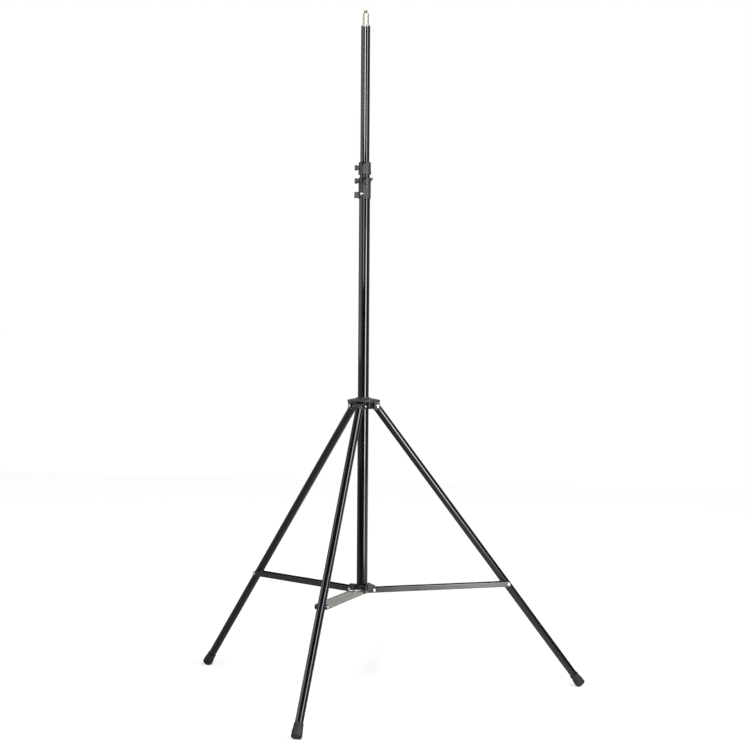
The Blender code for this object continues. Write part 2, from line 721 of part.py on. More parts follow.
def make_foot(name, floor, materials, parent):
    """A rubber foot over the leg's end, cut flat where it stands on the floor."""
    end = -LEG_LENGTH
    mouth = end + FOOT_LENGTH
    socket = end + FOOT_SOLE
    bore = LEG_RADIUS + BORE_GAP
    rounded = arc((FOOT_RADIUS - FOOT_ROUNDING, end + FOOT_ROUNDING), FOOT_ROUNDING, 0, -math.pi / 2, 5)
    profile = [
        (0, socket),
        (bore, socket),
        (bore, mouth),
        (FOOT_MOUTH_RADIUS - FOOT_MOUTH_CHAMFER, mouth),
        (FOOT_MOUTH_RADIUS, mouth - FOOT_MOUTH_CHAMFER),
        (FOOT_MOUTH_RADIUS + FOOT_SWELL, mouth - FOOT_LENGTH * 0.30),
        (FOOT_RADIUS - FOOT_SWELL, mouth - FOOT_LENGTH * 0.55),
        *rounded,
        (0, end),
    ]
    foot = make_object(f"{name}_foot", lathe(profile, LEG_SIDES), materials["rubber"], parent)
    apply_tool(foot, floor, "DIFFERENCE")


def make_leg(name, azimuth, floor, materials, frame):
    """A leg in its own frame: z up along the tube, y along the pivot, origin on the pivot."""
    out = outward(azimuth)
    up_out = out * math.cos(LEG_ANGLE) + AXIS_Z * math.sin(LEG_ANGLE)
    origin = out * LEG_PIVOT_RADIUS + AXIS_Z * LEG_PIVOT_Z
    pivot = make_empty(f"{name}_leg_pivot", frame, axes_frame(origin, up_out, sideways(azimuth)))

    shoulder_low = -LEG_PIVOT_TO_TUBE + REST_GAP
    plug_radius = LEG_BORE - BORE_GAP
    head_profile = [
        (0, shoulder_low + HEAD_SHOULDER),
        (LEG_RADIUS, shoulder_low + HEAD_SHOULDER),
        (LEG_RADIUS, shoulder_low),
        (plug_radius, shoulder_low),
        (plug_radius, -LEG_PIVOT_TO_TUBE - HEAD_PLUG_LENGTH),
        (0, -LEG_PIVOT_TO_TUBE - HEAD_PLUG_LENGTH),
    ]
    head = make_object(f"{name}_leg_head", lathe(head_profile, LEG_SIDES), materials["plastic"], pivot)
    join(head, solid_round(EYE_RADIUS, -EYE_HALF_WIDTH, EYE_HALF_WIDTH, LEG_SIDES), "eye", ALONG_Y)
    through_eye = EYE_HALF_WIDTH + PAST
    cut(head, solid_round(HOLE_RADIUS, -through_eye, through_eye), "hole", ALONG_Y)

    tube_end = -LEG_LENGTH + FOOT_SOLE + REST_GAP
    leg = make_object(
        f"{name}_leg_tube",
        tube(LEG_RADIUS, LEG_BORE, tube_end, -LEG_PIVOT_TO_TUBE, LEG_SIDES),
        materials["paint"],
        pivot,
    )
    pin_place = Matrix.Translation((0, 0, -BRACE_PIN_DISTANCE)) @ ALONG_Y
    through_leg = LEG_RADIUS + PAST
    cut(leg, solid_round(PIN_HOLE_RADIUS, -through_leg, through_leg), "pin_hole", pin_place)
    make_foot(name, floor, materials, pivot)

    rivet = mirrored(rivet_profile(LEG_EAR_OUTER + REST_GAP, RIVET_RADIUS))
    make_object(f"{name}_leg_rivet", lathe(rivet, SMALL_SIDES), materials["bright"], pivot, ALONG_Y)
    make_object(
        f"{name}_brace_pin",
        solid_round(BRACE_PIN_RADIUS, -SPACER_OFFSET, SPACER_OFFSET),
        materials["steel"],
        pivot,
        pin_place,
    )
    for side, label in ((1, "a"), (-1, "b")):
        low, high = sorted((side * (LEG_RADIUS - PAST), side * SPACER_OFFSET))
        spacer = make_object(
            f"{name}_brace_spacer_{label}",
            solid_round(BRACE_SPACER_RADIUS, low, high, LEG_SIDES),
            materials["plastic"],
            pivot,
            pin_place,
        )
        saddle = BRACE_SPACER_RADIUS + PAST
        around_leg = solid_round(LEG_RADIUS + BORE_GAP, -saddle, saddle, TUBE_SIDES)
        cut(spacer, around_leg, "saddle", ALONG_Y.inverted())
        cut(spacer, solid_round(PIN_HOLE_RADIUS, low - PAST, high + PAST), "hole")


def bar_outline():
    """The side view of a flat bar with round ends, pivot at the origin."""
    half = BAR_HEIGHT / 2
    return [
        *arc((BRACE_LENGTH, 0), half, -math.pi / 2, math.pi / 2),
        *arc((0, 0), half, math.pi / 2, math.pi * 3 / 2),
    ]


def make_brace(name, azimuth, materials, frame):
    """A pair of bars in their own frame: x along the bars, y along the base pivot."""
    out = outward(azimuth)
    along = out * math.cos(BRACE_TILT) + AXIS_Z * math.sin(BRACE_TILT)
    origin = out * BASE_PIVOT_RADIUS + AXIS_Z * BASE_PIVOT_Z
    pivot = make_empty(f"{name}_brace_pivot", frame, axes_frame(origin, along, sideways(azimuth)))
    outer_place = Matrix.Translation((BRACE_LENGTH, 0, 0))
    for side, label in ((1, "a"), (-1, "b")):
        low, high = sorted((side * BAR_INNER_OFFSET, side * BAR_OUTER_OFFSET))
        bar = make_object(
            f"{name}_brace_bar_{label}", prism(bar_outline(), low, high), materials["paint"], pivot
        )
        hole = (HOLE_RADIUS, low - PAST, high + PAST)
        cut(bar, solid_round(*hole), "inner_hole", ALONG_Y)
        cut(bar, solid_round(*hole), "outer_hole", outer_place @ ALONG_Y)
        facing = ALONG_Y if side > 0 else ALONG_Y.inverted()
        profile = rivet_profile(BAR_OUTER_OFFSET + REST_GAP, RIVET_RADIUS)
        profile += [(RIVET_RADIUS, BAR_INNER_OFFSET), (0, BAR_INNER_OFFSET)]
        make_object(
            f"{name}_brace_rivet_{label}",
            lathe(profile, SMALL_SIDES),
            materials["bright"],
            pivot,
            outer_place @ facing,
        )
    shouldered = [
        *rivet_profile(BASE_EAR_OUTER + REST_GAP, RIVET_RADIUS),
        (RIVET_RADIUS, SPACER_OFFSET),
        (BASE_RIVET_SHOULDER_RADIUS, SPACER_OFFSET),
    ]
    make_object(
        f"{name}_base_rivet", lathe(mirrored(shouldered), SMALL_SIDES), materials["bright"], pivot, ALONG_Y
    )


def centre_over_feet(frame):
    """Moves the stand so that the middle of its footprint is at the origin."""
    bpy.context.view_layer.update()
    graph = bpy.context.evaluated_depsgraph_get()
    depths = []
    for name in LEG_AZIMUTHS:
        foot = bpy.data.objects[f"{name}_foot"].evaluated_get(graph)
        depths += [(foot.matrix_world @ vert.co).y for vert in foot.data.vertices]
    frame.location.y = -(min(depths) + max(depths)) / 2


def main():
    clear_scene()
    materials = {
        "paint": make_material("black_paint", (0.018, 0.018, 0.020), 0.32, 0.0),
        "plastic": make_material("black_plastic", (0.035, 0.036, 0.037), 0.48, 0.0),
        "rubber": make_material("black_rubber", (0.022, 0.022, 0.022), 0.75, 0.0),
        "bright": make_material("bright_metal", (0.83, 0.80, 0.76), 0.22, 1.0),
        "steel": make_material("plated_steel", (0.55, 0.55, 0.56), 0.35, 1.0),
    }
    frame = make_empty("stand_frame")
    make_column(frame, materials)
    make_inner_tubes(frame, materials)
    make_spigot(frame, materials)
    make_clamp("lower_clamp", LOWER_CLAMP, OUTER_RADIUS, MIDDLE_RADIUS, COLUMN_TOP, materials, frame)
    make_clamp("upper_clamp", UPPER_CLAMP, MIDDLE_RADIUS, TOP_RADIUS, MIDDLE_TOP, materials, frame)
    make_leg_collar(frame, materials)
    make_base_collar(frame, materials)
    below_floor = box((-2 * LEG_LENGTH, -2 * LEG_LENGTH, -0.2), (2 * LEG_LENGTH, 2 * LEG_LENGTH, 0))
    floor = make_tool("floor", below_floor, frame)
    for name, azimuth in LEG_AZIMUTHS.items():
        make_leg(name, azimuth, floor, materials, frame)
        make_brace(name, azimuth, materials, frame)
    centre_over_feet(frame)


main()
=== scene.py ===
"""An overhead microphone stand: three telescoping tubes on a folding tripod."""

import math

import bmesh
import bpy
import numpy as np
from mathutils import Matrix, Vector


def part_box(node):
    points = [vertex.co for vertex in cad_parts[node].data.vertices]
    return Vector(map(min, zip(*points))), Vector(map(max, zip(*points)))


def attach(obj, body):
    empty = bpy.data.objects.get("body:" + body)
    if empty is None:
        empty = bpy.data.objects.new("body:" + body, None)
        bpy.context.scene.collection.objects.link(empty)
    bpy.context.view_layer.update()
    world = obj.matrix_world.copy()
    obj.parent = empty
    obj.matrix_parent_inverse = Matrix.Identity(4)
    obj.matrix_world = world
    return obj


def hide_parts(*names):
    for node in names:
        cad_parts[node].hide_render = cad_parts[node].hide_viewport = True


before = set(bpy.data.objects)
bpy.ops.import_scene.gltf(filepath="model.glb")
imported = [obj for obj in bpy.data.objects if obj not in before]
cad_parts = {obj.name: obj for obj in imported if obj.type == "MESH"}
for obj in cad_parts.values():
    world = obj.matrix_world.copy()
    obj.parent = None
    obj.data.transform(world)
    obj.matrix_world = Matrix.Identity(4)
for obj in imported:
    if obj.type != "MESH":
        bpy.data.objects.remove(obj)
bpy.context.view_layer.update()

# Lower tube. Drawn steel, 30 mm across with a 1 mm wall, coated in gloss black powder paint.
# It stands at the middle of the tripod and carries both collars and the lower clamp.


def centre_of(node):
    """The middle of a CAD node's box."""
    low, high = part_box(node)
    return (np.array(low) + np.array(high)) / 2


def along_z(node):
    """The lowest and highest level of a CAD node."""
    low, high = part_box(node)
    return low[2], high[2]


def place(origin, x_axis, y_axis):
    """A local frame as an origin and three unit axes, the third square to the first two."""
    x_axis, y_axis = np.array(x_axis, float), np.array(y_axis, float)
    return np.array(origin, float), np.array([x_axis, y_axis, np.cross(x_axis, y_axis)])


def rounded(outline, radius, steps=4, ring=True):
    """Each corner of an outline becomes an arc that touches both of its edges.
    The arc's points are the turn from one touching point to the other about its centre,
    weighted by sines. A corner's radius shrinks where its edges are too short for it."""
    outline = np.array(outline, float)
    radius = np.broadcast_to(radius, len(outline)).astype(float)
    to_last = np.roll(outline, 1, 0) - outline
    to_next = np.roll(outline, -1, 0) - outline
    far_last = np.linalg.norm(to_last, axis=1, keepdims=True)
    far_next = np.linalg.norm(to_next, axis=1, keepdims=True)
    to_last, to_next = to_last / far_last, to_next / far_next
    half = np.arccos(np.clip((to_last * to_next).sum(1), -1, 1))[:, None] / 2
    reach = np.minimum(radius[:, None] / np.tan(half), 0.49 * np.minimum(far_last, far_next))
    bisector = to_last + to_next
    length = np.linalg.norm(bisector, axis=1, keepdims=True)
    bisector = bisector / np.where(length > 1e-6, length, 1)
    middle = outline + bisector * reach / np.cos(half)
    first, last = outline + to_last * reach - middle, outline + to_next * reach - middle
    turn = (math.pi - 2 * half)[:, None]
    share = np.linspace(0, 1, steps + 1)[None, :, None]
    arcs = np.sin((1 - share) * turn) * first[:, None] + np.sin(share * turn) * last[:, None]
    arcs = middle[:, None] + arcs / np.sin(turn)
    if not ring:
        return np.vstack([outline[:1], arcs[1:-1].reshape(-1, 2), outline[-1:]])
    return arcs.reshape(-1, 2)


def steadied(profile, gap=0.0004, ring=True):
    """Every long straight part of a profile gets a point just inside each of its ends, at a
    gap's distance along it, which keeps the part's shading straight."""
    profile = np.array(profile, float)
    step = np.roll(profile, -1, 0) - profile
    length = np.linalg.norm(step, axis=1)
    long_part = length > 5 * gap
    long_part[-1] &= ring
    share = (gap / np.maximum(length, gap))[:, None]
    points = np.stack([profile, profile + step * share, profile + step * (1 - share)], 1)
    return points[np.stack([length >= 0, long_part, long_part], 1)]


def turned(profile, sides, where, start=0.0, sweep=2 * math.pi):
    """A profile of (radius, height) turned about its frame's third axis: each point goes to
    radius times (cosine, sine) of the angle, at its height."""
    profile = np.array(profile)
    angle = start + np.arange(sides + (sweep < 6.28)) * sweep / sides
    radius, height = profile[:, :1], profile[:, 1:]
    local = np.stack([radius * np.cos(angle), radius * np.sin(angle), height + 0 * angle], -1)
    return where[0] + local @ where[1]


def add_piece(name, grid, material, body, nodes, ring=True, round_about=True):
    """Joins a grid of points by four-sided faces into a piece that stands for CAD nodes.
    Rows run along the profile and columns round it; ring joins the last row to the first,
    round_about the last column. Points that meet at a pole are merged, and an open end of
    the grid is closed by one face. The UV map holds metres round and along the grid."""
    rows, columns = grid.shape[:2]
    index = np.arange(rows * columns).reshape(rows, columns)
    step = np.linalg.norm(np.diff(grid, axis=0, append=grid[:1]), axis=2).mean(1)
    along = np.concatenate([[0], np.cumsum(step)])
    across = np.linalg.norm(np.diff(grid, axis=1, append=grid[:, :1]), axis=2).max(0)
    across = np.concatenate([[0], np.cumsum(across)])
    if round_about:
        index = np.hstack([index, index[:, :1]])
    if ring:
        index = np.vstack([index, index[:1]])
    corners = ((0, 0), (1, 0), (1, 1), (0, 1))
    high, wide = index.shape[0] - 1, index.shape[1] - 1
    quads = np.stack([index[r : r + high, c : c + wide] for r, c in corners], -1).reshape(-1, 4)
    row, column = np.meshgrid(np.arange(high), np.arange(wide), indexing="ij")
    metres = np.stack([np.stack([across[column + c], along[row + r]], -1) for r, c in corners], 2)
    mesh = bpy.data.meshes.new(name)
    mesh.from_pydata(grid.reshape(-1, 3), [], quads)
    mesh.uv_layers.new(name="metres").data.foreach_set("uv", metres.ravel())
    bm = bmesh.new()
    bm.from_mesh(mesh)
    bmesh.ops.remove_doubles(bm, verts=bm.verts, dist=2e-7)
    edges = [edge for edge in bm.edges if edge.is_boundary]
    if edges:
        bmesh.ops.holes_fill(bm, edges=edges, sides=0)
    bmesh.ops.recalc_face_normals(bm, faces=bm.faces)
    bm.to_mesh(mesh)
    bm.free()
    mesh.shade_smooth()
    mesh.set_sharp_from_angle(angle=math.radians(40))
    mesh.materials.append(material)
    piece = bpy.data.objects.new(name, mesh)
    bpy.context.scene.collection.objects.link(piece)
    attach(piece, body)
    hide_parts(*nodes)


def finish_nodes(name, colour, roughness, metallic=0.0):
    """A new material, with what its node tree needs to carry a pattern on it."""
    material = bpy.data.materials.new(name)
    material.use_nodes = True
    nodes, links = material.node_tree.nodes, material.node_tree.links
    shader = nodes["Principled BSDF"]
    shader.inputs["Base Color"].default_value = (*colour, 1)
    shader.inputs["Roughness"].default_value = roughness
    shader.inputs["Metallic"].default_value = metallic
    return material, nodes, links, shader


def pattern(nodes, links, scale, detail=2.0, stretch=(1, 1, 1), source="Object"):
    """A noise pattern in metres, stretched by a Mapping node. Returns its value."""
    place_node = nodes.new("ShaderNodeTexCoord")
    mapping = nodes.new("ShaderNodeMapping")
    mapping.inputs["Scale"].default_value = stretch
    links.new(place_node.outputs[source], mapping.inputs["Vector"])
    texture = nodes.new("ShaderNodeTexNoise")
    texture.inputs["Scale"].default_value = scale
    texture.inputs["Detail"].default_value = detail
    links.new(mapping.outputs["Vector"], texture.inputs["Vector"])
    return texture.outputs["Fac"]


def spread(nodes, links, value, socket, low, high, start=0.3, end=0.7):
    """Sends a pattern between start and end to a socket as numbers from low to high."""
    node = nodes.new("ShaderNodeMapRange")
    for key, number in (("From Min", start), ("From Max", end), ("To Min", low), ("To Max", high)):
        node.inputs[key].default_value = number
    links.new(value, node.inputs["Value"])
    links.new(node.outputs["Result"], socket)


def tint(nodes, links, value, socket, stops):
    """Sends a pattern to a socket as a colour, through a ramp of (position, colour) stops."""
    ramp = nodes.new("ShaderNodeValToRGB")
    for stop, (position, colour) in enumerate(stops):
        if stop > 1:
            ramp.color_ramp.elements.new(position)
        ramp.color_ramp.elements[stop].position = position
        ramp.color_ramp.elements[stop].color = (*colour, 1)
    links.new(value, ramp.inputs["Fac"])
    links.new(ramp.outputs["Color"], socket)


def relief(nodes, links, shader, value, depth):
    """Adds a pattern of some depth in metres to the bumps that the shader already has."""
    bump = nodes.new("ShaderNodeBump")
    bump.inputs["Distance"].default_value = depth
    links.new(value, bump.inputs["Height"])
    before = shader.inputs["Normal"].links
    if before:
        links.new(before[0].from_socket, bump.inputs["Normal"])
    links.new(bump.outputs["Normal"], shader.inputs["Normal"])


def powder_coat(name, gloss, rubbed, stretch=(1400, 22, 1)):
    """Black powder paint with a fine orange peel, and faint rub marks along the piece. Its
    roughness goes from gloss to rubbed."""
    material, nodes, links, shader = finish_nodes(name, (0.002, 0.002, 0.002), 0.1)
    clouds = pattern(nodes, links, 30, 3)
    stops = [(0.35, (0.0010, 0.0012, 0.0017)), (0.7, (0.0024, 0.0028, 0.0038))]
    tint(nodes, links, clouds, shader.inputs["Base Color"], stops)
    marks = pattern(nodes, links, 1.0, 4, stretch, "UV")
    spread(nodes, links, marks, shader.inputs["Roughness"], gloss, rubbed, 0.35, 0.8)
    peel = pattern(nodes, links, 420, 1)
    relief(nodes, links, shader, peel, 0.0000015)
    return material


tube_paint = powder_coat("tube_paint", 0.05, 0.10)
column_x, column_y, _ = centre_of("column_tube")
column_low, column_high = along_z("column_tube")
UPRIGHT = place((column_x, column_y, 0), (1, 0, 0), (0, 1, 0))


def tube_wall(radius, wall, low, high, where, sides=96):
    """The profile of a tube wall with its rims rounded, turned about the tube's axis."""
    inside = radius - wall
    wall_outline = [(radius, low), (radius, high), (inside, high), (inside, low)]
    return turned(steadied(rounded(wall_outline, wall * 0.35)), sides, where)


LOWER_RADIUS = 0.015
WALL = 0.001
outer_tube = tube_wall(LOWER_RADIUS, WALL, column_low, column_high, UPRIGHT)
add_piece("lower_tube", outer_tube, tube_paint, "column", ["column_tube"])

# Middle and top tubes. They slide one inside the other with a film of air between them, so
# their paint carries long fine rub marks from the clamps' bushes.

sliding_paint = powder_coat("sliding_tube_paint", 0.05, 0.13)
middle_low, middle_high = along_z("middle_tube")
top_low, top_high = along_z("top_tube")
MIDDLE_RADIUS = 0.01375
TOP_RADIUS = 0.0125
TOP_WALL = 0.0012
middle_wall = tube_wall(MIDDLE_RADIUS, WALL, middle_low, middle_high, UPRIGHT)
add_piece(
    "middle_tube_wall", middle_wall, sliding_paint, "middle_section", ["middle_tube"]
)
top_wall = tube_wall(TOP_RADIUS, TOP_WALL, top_low, top_high, UPRIGHT)
add_piece("top_tube_wall", top_wall, sliding_paint, "top_section", ["top_tube"])

# Spigot. One piece turned from nickel-plated steel and pressed into the top tube: a flange,
# a smooth 16 mm stud and a 3/8 inch thread of 16 turns to the inch, which takes the microphone.


def turned_metal(name, colour, rough, stretch):
    """Bright metal with the fine rings that a lathe leaves, and slight stains."""
    material, nodes, links, shader = finish_nodes(name, colour, rough, 1.0)
    stains = pattern(nodes, links, 160, 3)
    dull = tuple(channel * 0.86 for channel in colour)
    tint(nodes, links, stains, shader.inputs["Base Color"], [(0.35, dull), (0.6, colour)])
    rings = pattern(nodes, links, 1.0, 3, stretch, "UV")
    spread(nodes, links, rings, shader.inputs["Roughness"], rough * 0.7, rough * 1.4)
    relief(nodes, links, shader, rings, 0.000004)
    return material


nickel = turned_metal("turned_nickel", (0.36, 0.325, 0.27), 0.2, (30, 5200, 1))
THREAD_PITCH = 0.0015875
THREAD_RADIUS = 0.00475
THREAD_DEPTH = 0.00095
STUD_RADIUS = 0.008
PLUG_RADIUS = 0.01095
PLUG_LENGTH = 0.030
flange_low = top_high + 0.0003
flange_high = flange_low + 0.0033
shoulder = flange_high + 0.033
spigot_tip = along_z("spigot")[1]
spigot_body = [
    (0, spigot_tip - 0.0093),
    (0.0046, spigot_tip - 0.0093),
    (STUD_RADIUS, shoulder),
    (STUD_RADIUS, flange_high),
    (TOP_RADIUS, flange_high),
    (TOP_RADIUS, flange_low),
    (PLUG_RADIUS, flange_low),
    (PLUG_RADIUS, flange_low - PLUG_LENGTH),
    (0, flange_low - PLUG_LENGTH),
]
spigot_corners = [0, 0.0001, 0.0008, 0.0006, 0.0005, 0.0003, 0.0001, 0.0008, 0]


def thread_skin(low, high, where, sides=72, rows_per_turn=14):
    """A screw thread: the radius falls by a triangle wave of height and angle, one wave a
    turn, whose crests fade out at the tip. Rows rise from the root to the tip."""
    rows = int((high - low) / THREAD_PITCH * rows_per_turn)
    height = np.linspace(low, high, rows)[:, None]
    angle = np.arange(sides)[None] * 2 * math.pi / sides
    wave = np.abs(2 * np.mod(height / THREAD_PITCH - angle / (2 * math.pi), 1) - 1)
    crest = np.clip(wave * 1.35 - 0.1, 0, 1)
    lead_in = np.clip((high - height) / (0.6 * THREAD_PITCH), 0, 1)
    radius = THREAD_RADIUS - THREAD_DEPTH * (1 - crest * lead_in)
    local = np.stack([radius * np.cos(angle), radius * np.sin(angle), height + 0 * angle], -1)
    return where[0] + local @ where[1]


spigot_rows = steadied(rounded(spigot_body, spigot_corners, 3, False), 0.0003, False)
below_skin = turned(spigot_rows[::-1], 72, UPRIGHT)
tip_cap = turned([(0.0034, spigot_tip), (0.0018, spigot_tip), (0, spigot_tip)], 72, UPRIGHT)
thread_rows = thread_skin(shoulder, spigot_tip, UPRIGHT)
spigot_skin = np.concatenate([below_skin[:-2], thread_rows, tip_cap])
add_piece("threaded_spigot", spigot_skin, nickel, "top_section", ["spigot"], False)

# Leg tubes. Steel tubes 21.5 mm across in the same paint, each pinned at its head to the leg
# collar and drilled for the pin that the braces turn on.

LEGS = ("front", "right", "left")
leg_frames = {}
brace_frames = {}
brace_reach = {}
for side in LEGS:
    pivot, pin = centre_of(f"{side}_leg_rivet"), centre_of(f"{side}_brace_pin")
    up_leg = (pivot - pin) / np.linalg.norm(pivot - pin)
    out = np.array([pin[0] - column_x, pin[1] - column_y, 0])
    out = out / np.linalg.norm(out)
    across = np.array([-out[1], out[0], 0])
    leg_frames[side] = place(pivot, np.cross(across, up_leg), across)
    base = centre_of(f"{side}_base_rivet")
    brace_reach[side] = np.linalg.norm(pin - base)
    brace_frames[side] = place(base, (pin - base) / brace_reach[side], across)

LEG_LENGTH = 0.990
LEG_RADIUS = 0.01075
LEG_WALL = 0.0012
for side in LEGS:
    leg_low, leg_high = 0.0105 - LEG_LENGTH, -0.014
    leg_wall = tube_wall(LEG_RADIUS, LEG_WALL, leg_low, leg_high, leg_frames[side], 80)
    leg_name = f"{side}_leg"
    add_piece(f"{leg_name}_wall", leg_wall, tube_paint, leg_name, [f"{leg_name}_tube"])

# Rubber feet. Each is a moulded cap pushed over the leg's end, wider at the sole than at its
# mouth, with a beaded lip, three shallow grips and a worn flat where it stands.


def moulded_rubber():
    """Matt black rubber with a fine grain, and pale dust in random patches."""
    material, nodes, links, shader = finish_nodes("moulded_rubber", (0.01, 0.01, 0.01), 0.6)
    shader.inputs["Specular IOR Level"].default_value = 0.35
    dust = pattern(nodes, links, 55, 5)
    stops = [(0.35, (0.006, 0.006, 0.006)), (0.55, (0.009, 0.009, 0.009)), (0.8, (0.022, 0.021, 0.020))]
    tint(nodes, links, dust, shader.inputs["Base Color"], stops)
    spread(nodes, links, dust, shader.inputs["Roughness"], 0.5, 0.75)
    grain = pattern(nodes, links, 1600, 2)
    relief(nodes, links, shader, grain, 0.00006)
    return material


rubber = moulded_rubber()
FOOT_HEIGHT = 0.036
MOUTH_RADIUS = 0.0122
SOLE_RADIUS = 0.014
SOLE_EDGE = 0.004


def foot_skin(where):
    """A turned cap whose radius is a smooth blend from mouth to sole, less three narrow
    grooves; points that would be below the floor lie on it."""
    end, mouth = -LEG_LENGTH, -LEG_LENGTH + FOOT_HEIGHT
    height = np.linspace(mouth - 0.0006, end + SOLE_EDGE, 60)
    share = (mouth - height) / FOOT_HEIGHT
    swell = np.clip((share - 0.12) / 0.55, 0, 1)
    radius = MOUTH_RADIUS + (SOLE_RADIUS - MOUTH_RADIUS) * swell * swell * (3 - 2 * swell)
    lip = 0.0004 * np.exp(-(((share - 0.045) / 0.035) ** 2))
    grips = sum(np.exp(-(((share - at) / 0.012) ** 2)) for at in (0.30, 0.37, 0.44))
    side_wall = np.stack([radius + lip - 0.00035 * grips, height], -1)
    sole = [(SOLE_RADIUS, end + SOLE_EDGE + 0.0001), (SOLE_RADIUS, end), (0, end)]
    sole = rounded(sole, SOLE_EDGE, 10, False)[1:]
    inner = [(0, end + 0.0102), (0.0111, end + 0.0102), (0.0111, mouth)]
    inner = rounded([*inner, (MOUTH_RADIUS, mouth)], [0, 0.0001, 0.0003, 0], 2, False)
    skin = turned(np.vstack([inner, side_wall, sole]), 72, where)
    skin[..., 2] = np.maximum(skin[..., 2], 0)
    return skin


for side in LEGS:
    foot = foot_skin(leg_frames[side])
    foot_name = f"{side}_rubber_foot"
    add_piece(foot_name, foot, rubber, f"{side}_leg", [f"{side}_foot"], False)

# Braces. Each leg has two strips of steel, 13.5 mm by 1.5 mm with round ends and rolled edges,
# painted like the legs and riveted at one end to the base collar and at the other to the leg.

BAR_HALF = 0.00675
BAR_INNER = 0.0145
BAR_OUTER = 0.016
bar_paint = powder_coat("bar_paint", 0.13, 0.24, (22, 1400, 1))
bar_paint.node_tree.nodes["Principled BSDF"].inputs["Specular IOR Level"].default_value = 0.8


def bar_skin(length, low, high, where, edge=0.0004, turns=16, steps=3):
    """A strip with round ends: its outline is two half circles about the pivots, drawn at
    an inset that the edge's rounding gives for each level across the strip."""
    half_turn = np.linspace(-math.pi / 2, math.pi / 2, turns + 1)
    angle = np.concatenate([half_turn, half_turn + math.pi])
    start = np.where(np.arange(len(angle)) <= turns, length, 0.0)
    edges = rounded([(0, low), (BAR_HALF, low), (BAR_HALF, high), (0, high)], edge, steps, False)
    edges = steadied(edges, 0.0003, False)
    radius, level = edges[:, :1], edges[:, 1:]
    local = np.stack([start + radius * np.cos(angle), level + 0 * angle, radius * np.sin(angle)], -1)
    return where[0] + local @ where[1]


for side in LEGS:
    for label, facing in (("a", 1), ("b", -1)):
        strip = bar_skin(brace_reach[side], facing * BAR_INNER, facing * BAR_OUTER, brace_frames[side])
        bar = f"{side}_brace_bar_{label}"
        add_piece(f"{bar}_strip", strip, bar_paint, f"{side}_brace", [bar], False)

# Rivets. Tubular rivets of nickel-plated steel with domed heads, each with the small hollow
# that the setting tool leaves; they are the hinges of the legs and of the braces.

rivet_nickel = turned_metal("rivet_nickel", (0.80, 0.77, 0.72), 0.22, (900, 900, 1))
HEAD_RADIUS = 0.0042
SHAFT_RADIUS = 0.0029
SHOULDER_RADIUS = 0.0045
LEG_SEAT = 0.0168
BASE_SEAT = 0.0193
BASE_SHOULDER = 0.0142


def rivet_end(face):
    """Half of a rivet from its hollow outwards, above the face that its head rests on."""
    return [
        (0, face + 0.0011),
        (0.0011, face + 0.0011),
        (0.0015, face + 0.00155),
        (0.0026, face + 0.0014),
        (HEAD_RADIUS, face + 0.0005),
        (HEAD_RADIUS, face),
        (SHAFT_RADIUS, face),
    ]


def rivet_skin(outline, where):
    """The rivet's outline with its corners rounded, turned about the hinge's axis."""
    return turned(steadied(rounded(outline, 0.00035, 3, False), 0.0003, False), 40, where)


def hinge(where, shift=0.0, facing=1.0):
    """A frame whose third axis runs along the hinge of a leg's or brace's frame."""
    x_axis, y_axis, z_axis = where[1]
    return place(where[0] + x_axis * shift, z_axis * facing, x_axis)


def both_ways(half):
    """An outline from its middle outwards, after its mirror image."""
    return half + [(radius, -height) for radius, height in reversed(half)]


def add_rivet(node, outline, where, body):
    """A rivet turned from its outline that stands for a CAD rivet."""
    skin = rivet_skin(outline, where)
    add_piece(f"{node}_turned", skin, rivet_nickel, body, [node], False)


for side in LEGS:
    leg_half = rivet_end(LEG_SEAT)
    add_rivet(f"{side}_leg_rivet", both_ways(leg_half), hinge(leg_frames[side]), "leg_collar")
    base_shoulder = [(SHAFT_RADIUS, BASE_SHOULDER), (SHOULDER_RADIUS, BASE_SHOULDER)]
    base_half = rivet_end(BASE_SEAT) + base_shoulder
    add_rivet(f"{side}_base_rivet", both_ways(base_half), hinge(brace_frames[side]), "column")
    for label, facing in (("a", 1.0), ("b", -1.0)):
        shaft = [(SHAFT_RADIUS, BAR_INNER), (0, BAR_INNER)]
        outline = rivet_end(BAR_OUTER + 0.0003) + shaft
        pin_hinge = hinge(brace_frames[side], brace_reach[side], facing)
        add_rivet(f"{side}_brace_rivet_{label}", outline, pin_hinge, f"{side}_brace")

# Collars, clamps and leg heads. Glass-filled nylon mouldings with a fine sparked grain and soft
# edges. The leg collar slides on the lower tube; the base collar and lower clamp are fixed to it.


def moulded_nylon(name, shade, grain_depth, smooth, rough, shine=0.3):
    """Black nylon, slightly blue, with a fine grain from the mould and slight clouds. Its
    roughness goes from smooth to rough."""
    dark = (shade * 0.7, shade * 0.75, shade * 0.77)
    colours = [(0.3, dark), (0.65, (shade, shade * 1.07, shade * 1.11))]
    material, nodes, links, shader = finish_nodes(name, dark, 0.42)
    clouds = pattern(nodes, links, 90, 4)
    tint(nodes, links, clouds, shader.inputs["Base Color"], colours)
    spread(nodes, links, clouds, shader.inputs["Roughness"], smooth, rough)
    shader.inputs["Specular IOR Level"].default_value = shine
    grain = pattern(nodes, links, 2400, 2)
    relief(nodes, links, shader, grain, grain_depth)
    return material


clamp_nylon = moulded_nylon("clamp_nylon", 0.010, 0.00004, 0.38, 0.52, 0.42)
collar_nylon = moulded_nylon("collar_nylon", 0.02, 0.00006, 0.3, 0.45)


